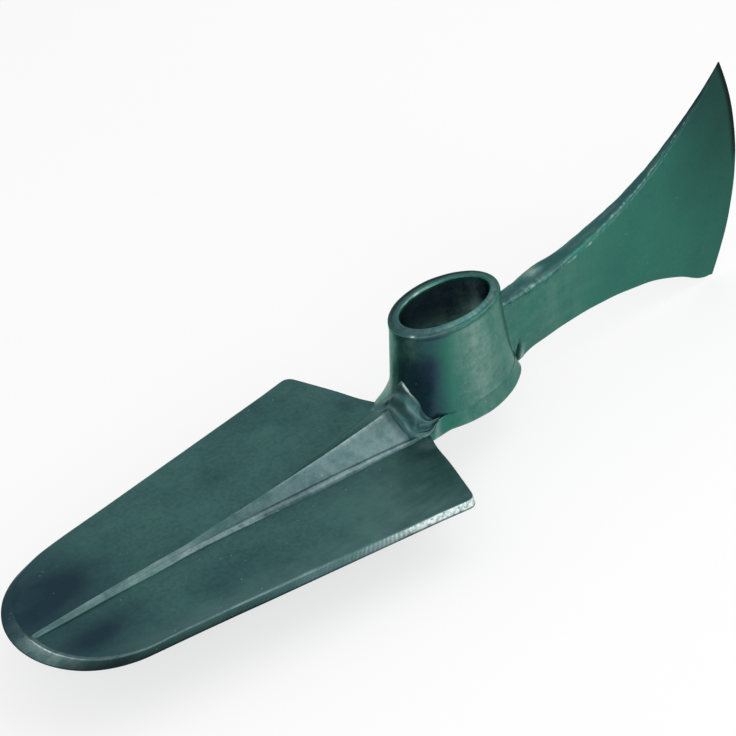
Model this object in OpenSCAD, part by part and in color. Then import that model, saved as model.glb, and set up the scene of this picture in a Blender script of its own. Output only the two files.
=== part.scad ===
// Planting mattock head: a spade blade and an axe blade on one oval handle socket.
// Z is the axis of the socket and points towards the user's end of the handle.
// The spade points along -X, the axe along +X, and the head is symmetric about Y = 0.
// Z = 0 is the flat underside of the collar.

/* [Socket] */
// Height of the rim above the underside of the collar
socket_h = 52; // [44:1:70]
// Length of the oval rim, along the head
rim_l = 58.5; // [52:0.5:68]
// Width of the oval rim, across the head
rim_w = 38.5; // [34:0.5:46]
// Wall thickness at the rim
socket_wall = 5; // [4:0.5:7]
// How far the wall spreads towards the axe between the rim and the underside
flare_axe = 7.5; // [4:0.5:10]
// How far the wall spreads towards the spade
flare_spade = 6; // [3:0.5:7]
// How far the wall spreads to each side
flare_side = 2; // [0.6:0.2:4]
// How much the bore opens on each side between the rim and the underside
bore_flare = 2; // [0.5:0.5:3]
// Height and width of the broken edges of the rim
rim_break = 0.8; // [0.4:0.1:1.5]

/* [Collar] */
// Thickness of the collar, and of the spade blade that joins it
plate_t = 4; // [3:0.5:6]
// How far the collar stands out round the foot of the socket
collar_lip = 0.5; // [0.3:0.1:1]
// Width of the neck where the collar meets the spade blade
neck_w = 37; // [35:0.5:40]
// How far behind the foot of the socket the notch between neck and spade blade lies
notch_back = 5.75; // [3:0.25:8]
// How far beyond the foot of the socket the tang reaches into the spade blade
tang_l = 1.75; // [1:0.25:3.5]

/* [Spade blade] */
// Distance from the socket axis to the tip
blade_l = 242; // [200:1:280]
// Width across the shoulders, measured at the lower edge
blade_w = 134; // [110:1:150]
// Angle by which each side runs in towards the tip
blade_taper = 8.7; // [5:0.1:11]
// How far the shoulders lie beyond the foot of the socket
shoulder_out = 10.75; // [6:0.25:20]
// Length of the rounding at each shoulder corner
shoulder_round = 3.5; // [1:0.5:8]
// Height of the upright edge below the bevel
blade_land = 1.6; // [1:0.1:2.5]
// Width of the bevel along the sides
side_bevel = 2; // [1:0.1:4]
// Width of the ground bevel at the tip
tip_bevel = 8; // [4:0.5:12]
// How far the tip is bent up towards the user
blade_rise = 7.5; // [2:0.5:14]

/* [Middle rib] */
// Gap between the foot of the socket and the root of the rib
rib_gap = 4.25; // [3.75:0.25:8]
// Length of the tongue, from the root of the rib to where it ends in a low ridge
tongue_l = 108.5; // [70:0.5:130]
// Gap between the end of the ridge and the ground bevel of the tip
ridge_gap = 2; // [1:0.5:20]
// Width of the rib at its root
rib_w = 33; // [24:0.5:34]
// Height of the crest above the blade at its root
rib_h = 9.4; // [6:0.2:14]
// Width of the low ridge where the tongue ends
ridge_w = 6.4; // [4:0.2:9]
// Height of the low ridge where the tongue ends
ridge_h = 1.7; // [1:0.1:3]
// Width of the steep foot on each side of the rib
foot_w = 1.8; // [1:0.1:1.9]

/* [Neck web and weld] */
// Height of the web above the underside, where its crest meets the socket
web_h = 23; // [18:0.5:30]
// Height of the web above the underside, beside the crest
web_side_h = 12; // [10:0.5:14]
// Height of the edge of the web above the neck, beside the socket
web_edge_h = 4.5; // [2:0.5:5.5]
// Width of the weld bead at the foot of the socket wall, as a share of the web
weld_share = 0.36; // [0.2:0.02:0.5]

/* [Axe blade] */
// Distance from the socket axis to the middle of the cutting edge
axe_reach = 194.5; // [160:0.5:230]
// Length of the cutting edge, corner to corner
edge_l = 119; // [90:1:140]
// How far the lower corner hangs below the underside of the collar
edge_drop = 24; // [10:0.5:40]
// How far the middle of the cutting edge stands out in front of its corners
edge_bow = 14.5; // [4:0.5:20]
// How much further out the upper corner is than the lower one
edge_lean = 6.6; // [0:0.2:12]
// Height of the top of the shank, at the socket
shank_top = 37; // [28:0.5:42]
// Height of the underside of the shank, at the socket
shank_bottom = 5; // [4:0.5:12]
// Greatest thickness of the shank
axe_t = 11; // [8:0.5:14]
// Thickness left at the cutting edge
edge_t = 0.8; // [0.6:0.1:2]

/* [Hidden] */

paint_green = [0.10, 0.28, 0.23];
paint_grey = [0.14, 0.25, 0.25];

// Play between a piece and the curved socket wall that it is welded to
seat_gap = 0.05;
// Steps round the oval, up the socket wall, along a curve and round the tip
oval_steps = 72;
wall_steps = 12;
curve_steps = 16;
corner_steps = 5;
// Angle between neighbouring points of the oval
oval_step = 360 / oval_steps;

// Closed surface of a grid of rings: every ring has the same number of points
function ring_faces(rings, count) = [
    for (i = [0 : rings - 2], j = [0 : count - 1])
        let (a = i * count + j, b = i * count + (j + 1) % count)
            each [[a, b, b + count], [a, b + count, a + count]]
];

// Point of a cubic curve through two ends, pulled by two handles
function cubic(p, t) =
    pow(1 - t, 3) * p[0] + 3 * t * pow(1 - t, 2) * p[1]
    + 3 * pow(t, 2) * (1 - t) * p[2] + pow(t, 3) * p[3];

// Point of a quadratic curve, used to round a corner
function corner_curve(p, t) = pow(1 - t, 2) * p[0] + 2 * t * (1 - t) * p[1] + pow(t, 2) * p[2];

function mix(a, b, s) = a + (b - a) * s;

// Places along the spade side, as distances from the socket axis
foot_x = rim_l / 2 + flare_spade;
notch_x = foot_x - notch_back;
tang_x = foot_x + tang_l;
shoulder_x = foot_x + shoulder_out;
rib_x = foot_x + rib_gap;
tongue_x = rib_x + tongue_l;

// Socket wall: half length and half width of the oval at a height
axe_flare_power = 1.6;
spade_flare_power = 1.1;
function wall_drop(z, power) = pow(max(0, socket_h - z) / socket_h, power);
function wall_spread(z, side) =
    side > 0
        ? flare_axe * wall_drop(z, axe_flare_power)
        : flare_spade * wall_drop(z, spade_flare_power);
function wall_a(z, side) = rim_l / 2 + wall_spread(z, side);
function wall_b(z) = rim_w / 2 + flare_side * wall_drop(z, spade_flare_power);
function wall_point(angle, z, out = 0) = [
    (wall_a(z, cos(angle)) + out) * cos(angle),
    (wall_b(z) + out) * sin(angle),
    z
];
// The same wall on the axe side, at a given distance from the middle plane
function wall_x(y, z) = wall_a(z, 1) * sqrt(1 - pow(y / wall_b(z), 2));

// Bore: an oval that opens towards the underside
function bore_point(angle, z, out = 0) =
    let (open = bore_flare * (socket_h - z) / socket_h - socket_wall + out)
        [(rim_l / 2 + open) * cos(angle), (rim_w / 2 + open) * sin(angle), z];

// Spade blade: height of its underside, which rises from the tang to the tip
function blade_z(x) = blade_rise * (-x - tang_x) / (blade_l - tang_x);
// Top face of the collar and, beyond the tang, of the blade
function plate_top(x) = plate_t + max(0, blade_z(x));

// Outline of the spade blade for a tip and a shoulder half width
function tip_r(tip, half_w) =
    (half_w - tan(blade_taper) * (tip - shoulder_x)) * cos(blade_taper) / (1 - sin(blade_taper));
function blade_half(tip, half_w) =
    let (
        r = tip_r(tip, half_w),
        slot = [-tang_x, neck_w / 2],
        back = [-notch_x, neck_w / 2],
        corner = [-shoulder_x, half_w],
        side_dir = [-cos(blade_taper), -sin(blade_taper)],
        back_dir = (back - corner) / norm(back - corner),
        round_points = [corner + shoulder_round * back_dir, corner, corner + shoulder_round * side_dir]
    ) [
        slot,
        back,
        for (i = [0 : corner_steps]) corner_curve(round_points, i / corner_steps),
        for (i = [0 : curve_steps])
            let (angle = mix(90 + blade_taper, 180, i / curve_steps))
                [r - tip + r * cos(angle), r * sin(angle)]
    ];
function mirrored(half) = [for (i = [len(half) - 2 : -1 : 0]) [half[i].x, -half[i].y]];
function blade_ring(tip, half_w, lift) =
    let (half = blade_half(tip, half_w))
        [for (p = concat(half, mirrored(half))) [p.x, p.y, blade_z(p.x) + lift]];

// Middle rib: half width and crest height along the blade
rib_end = blade_l - tip_bevel - ridge_gap;
tongue_curve_share = 1.4;
ridge_end_share = 0.5;
tongue_steps = 12;
ridge_steps = 6;
function tongue_s(x) = min(1, (x - rib_x) / (tongue_x - rib_x));
function ridge_s(x) = max(0, (x - tongue_x) / (rib_end - tongue_x));
function rib_half(x) =
    mix(ridge_w, rib_w, pow(1 - tongue_s(x), tongue_curve_share)) / 2
    * mix(1, ridge_end_share, ridge_s(x));
function rib_foot_h(x) = ridge_h * mix(1, ridge_end_share / 2, ridge_s(x));
function rib_crest(x) = max(rib_foot_h(x), mix(rib_h, ridge_h, tongue_s(x)));
function rib_foot_w(x) = foot_w * mix(1, ridge_end_share, ridge_s(x));
// Height of the rib above the blade at a distance y from the middle plane
function rib_height(x, y) =
    let (top = rib_half(x) - rib_foot_w(x), across = min(abs(y), rib_half(x)))
        across > top
            ? rib_foot_h(x) * (rib_half(x) - across) / rib_foot_w(x)
            : mix(rib_crest(x), rib_foot_h(x), across / top);
function rib_ring(x) =
    let (half = rib_half(x), top = half - rib_foot_w(x))
        [for (y = [-half, -top, 0, top, half]) [-x, y, plate_top(-x) + rib_height(x, y)]];

// Neck web: columns that run from the socket wall down to the rib and the neck
web_angle = 60;
web_rib_angle = 30;
web_columns = 2 * web_angle / oval_step;
web_profile_shares = [[0, 1], [0.18, 0.7], [0.36, 0.5], [0.5, 0.4], [0.75, 0.16], [1, 0]];
function web_turn(j) = -web_angle + j * oval_step;
function web_wall_h(turn) = mix(web_side_h, web_h, (1 + cos(180 * turn / web_angle)) / 2);
// Foot of a column, in plan: across the rib's root, then back along the neck
function web_back(turn) = max(0, abs(turn) - web_rib_angle) / (web_angle - web_rib_angle);
function web_foot(turn) =
    abs(turn) <= web_rib_angle
        ? [-rib_x, -rib_w / 2 * turn / web_rib_angle]
        : let (
            wall = wall_point(180 + web_angle, plate_t, collar_lip),
            near = [mix(-rib_x, wall.x, web_back(turn)), mix(rib_w / 2, -wall.y, web_back(turn))]
        ) [near.x, -sign(turn) * near.y];
function web_foot_z(turn) =
    let (p = web_foot(turn))
        plate_top(p.x)
        + (abs(turn) <= web_rib_angle ? rib_height(rib_x, p.y) : web_edge_h * sin(90 * web_back(turn)));
function web_top(turn, s) =
    let (
        wall = wall_point(180 + turn, web_wall_h(turn), seat_gap),
        foot = web_foot(turn),
        foot_z = web_foot_z(turn)
    ) [
        mix(wall.x, foot.x, s),
        mix(wall.y, foot.y, s),
        mix(foot_z, wall.z, lookup(s, web_profile_shares))
    ];
function web_base(turn, s) =
    let (wall = wall_point(180 + turn, plate_t, seat_gap), foot = web_foot(turn), x = mix(wall.x, foot.x, s))
        [x, mix(wall.y, foot.y, s), plate_top(x)];

// Axe blade: curves of its top and its underside in the middle plane, as [x, z]
edge_foot_x = axe_reach - edge_bow - edge_lean / 2;
edge_head_x = axe_reach - edge_bow + edge_lean / 2;
edge_head_z = sqrt(pow(edge_l, 2) - pow(edge_lean, 2)) - edge_drop;
top_handle_shares = [[0.42, 0], [0.77, 0.4]];
bottom_handle_shares = [[0.43, -0.08], [0.64, 0.05]];
axe_thickness_shares = [[0, 0.82], [0.15, 1], [0.4, 0.78], [0.55, 0.6], [0.7, 0.5], [0.85, 0.34], [1, 0]];
axe_steps = 20;
axe_rows = 10;
edge_bow_power = 3;
seat_fade_power = 8;
function axe_half_t(u) = mix(edge_t, axe_t, lookup(u, axe_thickness_shares)) / 2;
function handled(from, to, shares) = [
    from,
    for (s = shares) [mix(from.x, to.x, s[0]), mix(from.y, to.y, s[1])],
    to
];
axe_top = handled([rim_l / 2, shank_top], [edge_head_x, edge_head_z], top_handle_shares);
axe_bottom = handled([rim_l / 2, shank_bottom], [edge_foot_x, -edge_drop], bottom_handle_shares);
function axe_point(u, v, side) =
    let (
        p = mix(cubic(axe_bottom, u), cubic(axe_top, u), v),
        bow = edge_bow * pow(u, edge_bow_power) * 4 * v * (1 - v),
        y = side * axe_half_t(u),
        seat = wall_x(axe_half_t(0) * side, p.y) + seat_gap - rim_l / 2
    ) [p.x + bow + seat * pow(1 - u, seat_fade_power), y, p.y];
// One cross-section: up the near side, over the top, down the far side
function axe_ring(u) = [
    for (v = [0 : axe_rows]) axe_point(u, v / axe_rows, -1),
    axe_point(u, 1, 0),
    for (v = [axe_rows : -1 : 0]) axe_point(u, v / axe_rows, 1),
    axe_point(u, 0, 0)
];

// Oval handle socket: a flared tube with a tapered oval bore
module eye_socket() {
    outer_z = [for (i = [0 : wall_steps]) mix(plate_t, socket_h - rim_break, i / wall_steps)];
    rings = [
        for (z = outer_z) [for (j = [0 : oval_steps - 1]) wall_point(j * oval_step, z)],
        [for (j = [0 : oval_steps - 1]) wall_point(j * oval_step, socket_h, -rim_break)],
        [for (j = [0 : oval_steps - 1]) bore_point(j * oval_step, socket_h, rim_break)],
        [for (j = [0 : oval_steps - 1]) bore_point(j * oval_step, socket_h - rim_break)],
        [for (j = [0 : oval_steps - 1]) bore_point(j * oval_step, plate_t)]
    ];
    closed = [each rings, rings[0]];
    count = len(rings) * oval_steps;
    color(paint_green)
        polyhedron(
            [for (ring = rings) each ring],
            [for (f = ring_faces(len(closed), oval_steps)) [for (k = [2 : -1 : 0]) f[k] % count]]
        );
}

// Flat collar round the foot of the socket, with the neck that carries the spade
module socket_collar() {
    color(paint_green)
        linear_extrude(plate_t)
            difference() {
                union() {
                    polygon([
                        for (j = [0 : oval_steps - 1])
                            let (p = wall_point(j * oval_step, 0, collar_lip)) [p.x, p.y]
                    ]);
                    polygon([
                        [-tang_x, -neck_w / 2],
                        [0, -neck_w / 2],
                        [0, neck_w / 2],
                        [-tang_x, neck_w / 2]
                    ]);
                }
                polygon([
                    for (j = [0 : oval_steps - 1])
                        let (p = bore_point(j * oval_step, 0)) [p.x, p.y]
                ]);
            }
}

// A strip of the neck web between two shares of its columns
module web_strip(from, to) {
    shares = [
        from,
        for (row = web_profile_shares) if (row[0] > from && row[0] < to) row[0],
        to
    ];
    rings = [
        for (j = [0 : web_columns])
            [
                for (s = shares) web_top(web_turn(j), s),
                for (i = [len(shares) - 1 : -1 : 0]) web_base(web_turn(j), shares[i])
            ]
    ];
    count = 2 * len(shares);
    last = count * web_columns;
    cap = [for (i = [0 : len(shares) - 2]) each [[i, i + 1, count - 2 - i], [i, count - 2 - i, count - 1 - i]]];
    polyhedron(
        [for (ring = rings) each ring],
        [
            for (f = ring_faces(web_columns + 1, count)) [f[2], f[1], f[0]],
            for (f = cap) f,
            for (f = cap) [for (k = [2 : -1 : 0]) f[k] + last]
        ]
    );
}

// Weld bead where the socket wall meets the neck
module socket_weld() {
    color(paint_grey)
        web_strip(0, weld_share);
}

// Web that carries the crest of the rib up to the socket
module neck_web() {
    color(paint_grey)
        web_strip(weld_share, 1);
}

// Roof-shaped tongue that stiffens the blade and ends in a low ridge
module mid_rib() {
    places = [
        for (i = [0 : tongue_steps]) mix(rib_x, tongue_x, i / tongue_steps),
        for (i = [1 : ridge_steps]) mix(tongue_x, rib_end, i / ridge_steps)
    ];
    rings = [for (x = places) rib_ring(x)];
    count = len(rings[0]);
    last = (len(rings) - 1) * count;
    color(paint_grey)
        polyhedron(
            [for (ring = rings) each ring],
            [
                for (f = ring_faces(len(rings), count)) [f[2], f[1], f[0]],
                [for (k = [0 : count - 1]) k],
                [for (k = [count - 1 : -1 : 0]) last + k]
            ]
        );
}

// Flat spade blade with bevelled sides and a ground tip
module spade_blade() {
    bevel_out = side_bevel / cos(blade_taper);
    rings = [
        blade_ring(blade_l, blade_w / 2, 0),
        blade_ring(blade_l, blade_w / 2, blade_land),
        blade_ring(blade_l - tip_bevel, blade_w / 2 - bevel_out, plate_t)
    ];
    count = len(rings[0]);
    last = 2 * count;
    color(paint_grey)
        polyhedron(
            [for (ring = rings) each ring],
            [
                for (f = ring_faces(len(rings), count)) [f[2], f[1], f[0]],
                [for (k = [0 : count - 1]) k],
                [for (k = [count - 1 : -1 : 0]) last + k]
            ]
        );
}

// End face of the axe blade: from the near side to the middle plane to the far side
function axe_cap(first, middle, count) = [
    for (v = [0 : axe_rows - 1])
        let (
            near = first + v,
            far = first + count - 2 - v,
            mid = v == 0 ? first + count - 1 : middle + v - 1,
            mid_up = v == axe_rows - 1 ? first + axe_rows + 1 : middle + v
        )
            each [
                [near, mid, near + 1],
                [near + 1, mid, mid_up],
                [mid, far, mid_up],
                [mid_up, far, far - 1]
            ]
];

// Axe blade: a shank that fans out to a bowed cutting edge
module axe_blade() {
    rings = [for (i = [0 : axe_steps]) axe_ring(i / axe_steps)];
    count = len(rings[0]);
    last = axe_steps * count;
    root_middle = last + count;
    edge_middle = root_middle + axe_rows - 1;
    color(paint_green)
        polyhedron(
            [
                for (ring = rings) each ring,
                for (u = [0, 1], v = [1 : axe_rows - 1]) axe_point(u, v / axe_rows, 0)
            ],
            [
                for (f = ring_faces(axe_steps + 1, count)) f,
                for (f = axe_cap(0, root_middle, count)) f,
                for (f = axe_cap(last, edge_middle, count)) [f[2], f[1], f[0]]
            ]
        );
}

eye_socket();
socket_collar();
socket_weld();
neck_web();
mid_rib();
spade_blade();
axe_blade();
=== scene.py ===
# %% [markdown]
# # The head of a planting mattock
# The part is a forged steel head with a spade blade on one side, an axe blade on the other and an oval
# socket for a wooden handle between them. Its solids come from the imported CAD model. This lesson puts a
# finer mesh in the place of each solid, with the same sizes, and then paints it with worn green enamel.

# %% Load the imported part
import math
from functools import partialmethod
import bmesh
import bpy
import numpy as np
from mathutils import Matrix, Vector, noise


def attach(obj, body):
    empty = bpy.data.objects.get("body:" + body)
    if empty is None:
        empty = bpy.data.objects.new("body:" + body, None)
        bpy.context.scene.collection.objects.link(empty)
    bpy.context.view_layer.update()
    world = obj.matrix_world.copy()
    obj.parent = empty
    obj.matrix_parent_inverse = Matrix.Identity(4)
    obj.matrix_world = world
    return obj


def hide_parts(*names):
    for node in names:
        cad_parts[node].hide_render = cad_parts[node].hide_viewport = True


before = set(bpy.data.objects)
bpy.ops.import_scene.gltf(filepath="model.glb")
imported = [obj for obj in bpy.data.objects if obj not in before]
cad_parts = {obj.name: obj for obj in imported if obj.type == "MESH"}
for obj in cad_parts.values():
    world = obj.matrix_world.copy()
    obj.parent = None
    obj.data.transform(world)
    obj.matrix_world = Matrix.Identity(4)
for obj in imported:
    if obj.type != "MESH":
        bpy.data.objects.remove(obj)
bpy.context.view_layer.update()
print("CAD nodes:", sorted(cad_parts))

# %% [markdown]
# ## Camera
# The photograph looks down on the head from the spade's side, through a lens of about 105 mm. The place
# of the camera was found by matching the oval rim and the outline of both blades. It is turned a little
# round its own axis, because the head leans to the left in the picture.

# %% Camera
MM = 0.001
camera_place = Vector((-505.23, -621.36, 604.25)) * MM
camera_aim = Vector((-25.58, 29.36, 15.62)) * MM
camera_roll = math.radians(-7.349)
camera_lens = 105.364

scene = bpy.context.scene


def add_object(name, data):
    """A new object in the scene, made from its data."""
    obj = bpy.data.objects.new(name, data)
    scene.collection.objects.link(obj)
    return obj


camera = add_object("camera", bpy.data.cameras.new("camera"))
camera.data.lens = camera_lens
camera.data.sensor_width = 36
camera.data.clip_start = 0.05
look = (camera_aim - camera_place).to_track_quat("-Z", "Y").to_matrix()
turned = look @ Matrix.Rotation(camera_roll, 3, "Z")
camera.matrix_world = Matrix.Translation(camera_place) @ turned.to_4x4()
scene.camera = camera
scene.view_settings.view_transform = "Standard"
print("camera", round((camera_aim - camera_place).length, 3), "m from the head")

# %% [markdown]
# ## Fields: arithmetic that builds nodes
# Geometry Nodes and shader nodes both have a Math node. The small class below turns ordinary Python
# arithmetic into Math nodes, so that a rule such as the flare of a wall stays readable as a formula.
# Most of its methods are one function with the operation filled in, which is what partialmethod does. The
# helper feed sets or links the inputs of any other node.

# %% Fields
class Field:
    """A value that varies over a mesh. Arithmetic on it adds Math nodes to its tree."""

    def __init__(self, tree, socket):
        self.tree = tree
        self.socket = socket

    def math(self, operation, *others, clamp=False):
        node = self.tree.nodes.new("ShaderNodeMath")
        node.operation = operation
        node.use_clamp = clamp
        for slot, value in zip(node.inputs, (self, *others)):
            if isinstance(value, Field):
                self.tree.links.new(value.socket, slot)
            else:
                slot.default_value = value
        return Field(self.tree, node.outputs[0])

    __add__ = __radd__ = partialmethod(math, "ADD")
    __sub__ = partialmethod(math, "SUBTRACT")
    __mul__ = __rmul__ = partialmethod(math, "MULTIPLY")
    __truediv__ = partialmethod(math, "DIVIDE")
    __pow__ = partialmethod(math, "POWER")
    above = partialmethod(math, "GREATER_THAN")
    at_least = partialmethod(math, "MAXIMUM")
    at_most = partialmethod(math, "MINIMUM")
    cos = partialmethod(math, "COSINE")
    sin = partialmethod(math, "SINE")
    size = partialmethod(math, "ABSOLUTE")

    def __rsub__(self, other):
        return (self * -1) + other

    def ramp(self, start, end):
        """0 up to start, 1 from end on, straight between them."""
        return ((self - start) / (end - start)).math("ADD", 0.0, clamp=True)

    def smooth(self, start, end):
        """Like ramp, with soft ends."""
        share = self.ramp(start, end)
        return share * share * (3 - share * 2)


def mix(a, b, share):
    return a + (b - a) * share


def feed(tree, node, **values):
    """Links or sets inputs of a node. Base_Color stands for the input Base Color."""
    for key, value in values.items():
        slot = node.inputs[key.replace("_", " ")]
        value = value.socket if isinstance(value, Field) else value
        if isinstance(value, bpy.types.NodeSocket):
            tree.links.new(value, slot)
        else:
            slot.default_value = value
    return node


print("fields ready")

# %% [markdown]
# ## Meshes from rows of points
# A forged piece is easy to describe as a row of cross-sections, like the ribs of a boat. Each row below
# is one closed cross-section, given in millimetres, and the helper skins them, closes the ends, merges
# points that meet at a tip and turns all faces outwards. It can also store a value on each point, such
# as how worn the paint is there, which the materials read later as an attribute. A forging is never
# quite even, so some pieces are dented by a soft noise, with a fixed seed so that every run is the same.

# %% Meshes from rows of points
SHARP_ANGLE, MERGE_WITHIN = 40, 0.002 * MM


def skin_rows(name, rows, values=None, sharp_angle=SHARP_ANGLE, closed_rows=False):
    """A smooth closed mesh through rows of cross-sections, an array of row, point and xyz in mm."""
    rows = np.asarray(rows, float)
    count, around = rows.shape[:2]
    bm = bmesh.new()
    layers = {key: bm.verts.layers.float.new(key) for key in values or {}}
    verts = [[bm.verts.new(Vector(p) * MM) for p in row] for row in rows]
    for key, layer in layers.items():
        table = np.broadcast_to(np.asarray(values[key], float), (count, around))
        for i in range(count):
            for j in range(around):
                verts[i][j][layer] = table[i, j]
    for i in range(count if closed_rows else count - 1):
        low, high = verts[i], verts[(i + 1) % count]
        for j in range(around):
            k = (j + 1) % around
            bm.faces.new((low[j], low[k], high[k], high[j]))
    if not closed_rows:
        bm.faces.new(verts[0][::-1])
        bm.faces.new(verts[-1])
    bmesh.ops.remove_doubles(bm, verts=bm.verts, dist=MERGE_WITHIN)
    bmesh.ops.dissolve_degenerate(bm, edges=bm.edges, dist=MERGE_WITHIN)
    bmesh.ops.recalc_face_normals(bm, faces=bm.faces)
    mesh = bpy.data.meshes.new(name)
    bm.to_mesh(mesh)
    bm.free()
    mesh.shade_smooth()
    mesh.set_sharp_from_angle(angle=math.radians(sharp_angle))
    obj = add_object(name, mesh)
    print(name, len(mesh.vertices), "points,", len(mesh.polygons), "faces")
    return obj


FORGING_SEED = 2
noise.seed_set(FORGING_SEED)


def forged(points, amount, scale, seed):
    """Moves points by a soft, fixed noise, as a hammered surface is never quite even."""
    points = np.asarray(points, float)
    moved = points.copy().reshape(-1, 3)
    for p in moved:
        p += Vector(noise.noise_vector(Vector(p) * scale + Vector((seed, 0, 0)))) * amount
    return moved.reshape(points.shape)


def bend(a, b, c, steps):
    """Points of a quadratic curve from a to c that b pulls, to round a corner."""
    t = np.linspace(0, 1, steps)[:, None]
    a, b, c = (np.asarray(p, float) for p in (a, b, c))
    return (1 - t) ** 2 * a + 2 * t * (1 - t) * b + t ** 2 * c


def use_for(obj, node, material):
    """Puts a finished mesh in the place of a CAD node."""
    obj.data.materials.clear()
    obj.data.materials.append(material)
    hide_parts(node)
    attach(obj, "root")


print("mesh helpers ready")

# %% [markdown]
# ## Floor and light
# The photograph is a cut-out on white, so the floor is a plain white sheet that only keeps a soft shadow.
# One large softbox stands above the head, a little to the axe's side: its reflection makes the sloping
# side of the rib lighter than the flat blade. A second one fills the near side from the left, and a small
# third one stands low on the right, where it catches the ground edge of the spade.

# %% Floor and light
floor_level = -25.5 * MM
floor_half = 6.0
floor_mesh = bpy.data.meshes.new("floor")
floor_mesh.from_pydata(
    [(x * floor_half, y * floor_half, floor_level) for x, y in ((-1, -1), (1, -1), (1, 1), (-1, 1))],
    [],
    [(0, 1, 2, 3)],
)
floor = add_object("floor", floor_mesh)


def seen_rays(tree):
    """1 where the camera, a mirror or a glass looks, 0 for the rays that only carry light."""
    ray = tree.nodes.new("ShaderNodeLightPath")
    kinds = ("Is Camera Ray", "Is Glossy Ray", "Is Transmission Ray")
    rays = [Field(tree, ray.outputs[kind]) for kind in kinds]
    return rays[0].at_least(rays[1]).at_least(rays[2])


floor_paper = bpy.data.materials.new("floor_paper")
floor_paper.use_nodes = True
sheet = floor_paper.node_tree
paper = sheet.nodes["Principled BSDF"]
feed(sheet, paper, Base_Color=(0.93, 0.93, 0.93, 1), Roughness=0.9, Specular_IOR_Level=0.1)
white = sheet.nodes.new("ShaderNodeEmission")
white.inputs["Strength"].default_value = 1.0
paling = sheet.nodes.new("ShaderNodeMixShader")
shadow_share = 0.32
sheet.links.new((seen_rays(sheet) * (1 - shadow_share)).socket, paling.inputs["Fac"])
sheet.links.new(paper.outputs["BSDF"], paling.inputs[1])
sheet.links.new(white.outputs["Emission"], paling.inputs[2])
sheet.links.new(paling.outputs["Shader"], sheet.nodes["Material Output"].inputs["Surface"])
floor.data.materials.append(floor_paper)

world = bpy.data.worlds.new("studio")
scene.world = world
world.use_nodes = True
sky = world.node_tree
background = sky.nodes["Background"]
background.inputs["Color"].default_value = (1, 1, 1, 1)
room_light = 0.7
strength = seen_rays(sky) * (1.0 - room_light) + room_light
sky.links.new(strength.socket, background.inputs["Strength"])


def softbox(name, place, aim, size, power):
    lamp = bpy.data.lights.new(name, "AREA")
    lamp.shape = "RECTANGLE"
    lamp.size, lamp.size_y = size
    lamp.energy = power
    obj = add_object(name, lamp)
    obj.location = place
    obj.rotation_euler = (Vector(aim) - Vector(place)).to_track_quat("-Z", "Y").to_euler()


softbox("top_light", place=(0.62, -0.22, 1.15), aim=(-0.05, 0, 0), size=(1.1, 1.1), power=4.8)
softbox("side_light", place=(-0.9, -1.3, 0.9), aim=(0, 0, 0.02), size=(1.2, 1.0), power=7)
softbox("edge_light", place=(0.30, -0.89, 0.29), aim=(-0.06, -0.065, 0), size=(0.36, 0.30), power=1.3)
print("floor at", round(floor_level / MM, 1), "mm, three softboxes")

# %% [markdown]
# ## Enamel
# The head was dipped in dark green enamel. Up close the coat is cloudy, with darker blue-black patches,
# pale dust specks and scuffs, and it is rubbed light along the edges. Noise textures on Object
# coordinates make the clouds and specks. Three attributes on each mesh say where the colour differs: one
# for rubbed places and for painted highlights and painted light, one for blue-black stains and for painted
# shade, and one for painted shade alone, where light hardly reaches. Past full wear bare steel shows, and
# it also paints small glints.

# %% Enamel
def noise_field(tree, coords, scale, detail=3.0, rough=0.5, stretch=None):
    node = tree.nodes.new("ShaderNodeTexNoise")
    if stretch:
        mapping = tree.nodes.new("ShaderNodeMapping")
        coords = feed(tree, mapping, Vector=coords, Scale=stretch).outputs["Vector"]
    feed(tree, node, Scale=scale, Detail=detail, Roughness=rough, Vector=coords)
    return Field(tree, node.outputs["Fac"])


def blend_colour(tree, share, a, b):
    node = tree.nodes.new("ShaderNodeMix")
    node.data_type = "RGBA"
    tree.links.new(share.socket, node.inputs[0])
    for slot, value in ((node.inputs[6], a), (node.inputs[7], b)):
        if isinstance(value, tuple):
            slot.default_value = (*value, 1)
        else:
            tree.links.new(value, slot)
    return node.outputs[2]


def attribute_field(tree, name):
    node = tree.nodes.new("ShaderNodeAttribute")
    node.attribute_name = name
    return Field(tree, node.outputs["Fac"])


def speck_field(tree, coords, scale, reach, share):
    """Small dots: the middles of a share of the cells of a Voronoi texture."""
    node = tree.nodes.new("ShaderNodeTexVoronoi")
    node.inputs["Scale"].default_value = scale
    tree.links.new(coords, node.inputs["Vector"])
    pick = tree.nodes.new("ShaderNodeSeparateColor")
    tree.links.new(node.outputs["Color"], pick.inputs["Color"])
    chosen = Field(tree, pick.outputs["Red"]).above(1 - share)
    return chosen * (1 - Field(tree, node.outputs["Distance"]).ramp(reach * 0.5, reach))


bare_steel_and_glint = (0.66, 0.74, 0.72)
painted_shade_colour = (0.002, 0.008, 0.007)


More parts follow.
